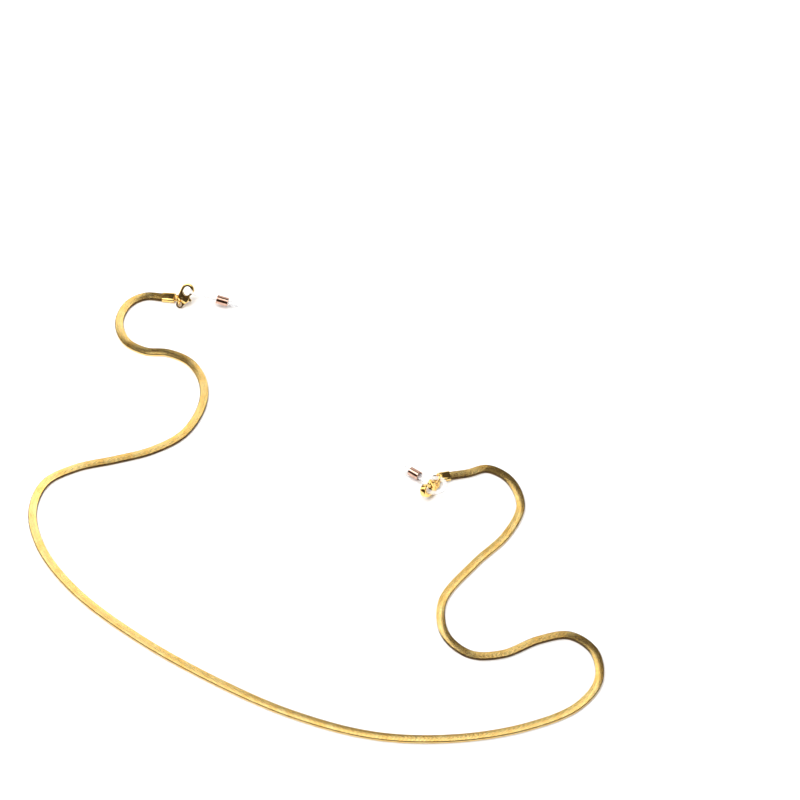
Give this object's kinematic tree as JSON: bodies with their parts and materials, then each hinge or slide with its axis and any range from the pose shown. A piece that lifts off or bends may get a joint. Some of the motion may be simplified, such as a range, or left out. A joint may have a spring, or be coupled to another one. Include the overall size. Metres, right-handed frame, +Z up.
{
  "type": "eyeglasses_chain_strap",
  "caption": "Eyeglasses strap: a flat herringbone chain with an end cap, jump ring and lobster clasp at each end, each holding a clear silicone temple loop with a sliding sleeve",
  "frame": {"origin": "centre of the strap's outline on the surface it lies on", "axes": "+Z up from the surface, +X to the right across the loose curl, +Y towards the side where both ends lie"},
  "size_m": [0.1862, 0.1788, 0.0073],
  "materials": {
    "chain_gold": "polished gold plate",
    "hardware_gold": "polished gold plate",
    "spring_steel": "plain spring steel",
    "clear_silicone": "clear soft silicone",
    "copper": "polished rose gold plate"
  },
  "bodies": {
    "chain": {"herringbone_chain": "chain_gold", "end_cap_left": "hardware_gold", "end_cap_right": "hardware_gold"},
    "jump_ring_left": {"jump_ring_left": "hardware_gold"},
    "clasp_left": {"clasp_body_left": "hardware_gold", "clasp_pin_left": "hardware_gold", "clasp_spring_left": "spring_steel"},
    "lever_left": {"clasp_lever_left": "hardware_gold"},
    "silicone_loop_left": {"silicone_loop_left": "clear_silicone"},
    "sleeve_left": {"copper_sleeve_left": "copper"},
    "jump_ring_right": {"jump_ring_right": "hardware_gold"},
    "clasp_right": {"clasp_body_right": "hardware_gold", "clasp_pin_right": "hardware_gold", "clasp_spring_right": "spring_steel"},
    "lever_right": {"clasp_lever_right": "hardware_gold"},
    "silicone_loop_right": {"silicone_loop_right": "clear_silicone"},
    "sleeve_right": {"copper_sleeve_right": "copper"}
  },
  "joints": [
    {"name": "ring_turn_left", "type": "hinge", "parent": "chain", "child": "jump_ring_left", "pos_m": [-0.04641, 0.08686, 0.00076], "axis": [-0.3717, 0.6176, 0.6931], "range_deg": [-4, 0]},
    {"name": "clasp_turn_left", "type": "hinge", "parent": "jump_ring_left", "child": "clasp_left", "pos_m": [-0.04559, 0.08402, 0.0012], "axis": [0.0473, 0.4992, -0.8652], "range_deg": [-10, 0]},
    {"name": "lever_open_left", "type": "hinge", "parent": "clasp_left", "child": "lever_left", "pos_m": [-0.04459, 0.08533, 0.00262], "axis": [-0.144, -0.6733, 0.7252], "range_deg": [0, 4], "stiffness_Nm_per_rad": 0.0005},
    {"name": "loop_turn_left", "type": "hinge", "parent": "clasp_left", "child": "silicone_loop_left", "pos_m": [-0.04275, 0.08707, 0.00462], "axis": [0.0556, 0.6822, -0.729], "range_deg": [-25, 0]},
    {"name": "sleeve_slide_left", "type": "slide", "parent": "silicone_loop_left", "child": "sleeve_left", "axis": [-0.9601, 0.2164, 0.1771], "range_m": [0, 0.0022]},
    {"name": "ring_turn_right", "type": "hinge", "parent": "chain", "child": "jump_ring_right", "pos_m": [0.03964, 0.01315, 0.00076], "axis": [-0.2502, -0.7044, -0.6642], "range_deg": [-4, 0]},
    {"name": "clasp_turn_right", "type": "hinge", "parent": "jump_ring_right", "child": "clasp_right", "pos_m": [0.03994, 0.01015, 0.00123], "axis": [0.3636, -0.4094, 0.8368], "range_deg": [-5, 0]},
    {"name": "lever_open_right", "type": "hinge", "parent": "clasp_right", "child": "lever_right", "pos_m": [0.03867, 0.00869, 0.00191], "axis": [0.7798, -0.4789, 0.4032], "range_deg": [0, 5], "stiffness_Nm_per_rad": 0.0005},
    {"name": "loop_turn_right", "type": "hinge", "parent": "clasp_right", "child": "silicone_loop_right", "pos_m": [0.03687, 0.00673, 0.00303], "axis": [-0.1041, 0.536, 0.8378], "range_deg": [0, 3]},
    {"name": "sleeve_slide_right", "type": "slide", "parent": "silicone_loop_right", "child": "sleeve_right", "axis": [0.7602, -0.6357, 0.134], "range_m": [0, 0.0016]}
  ]
}
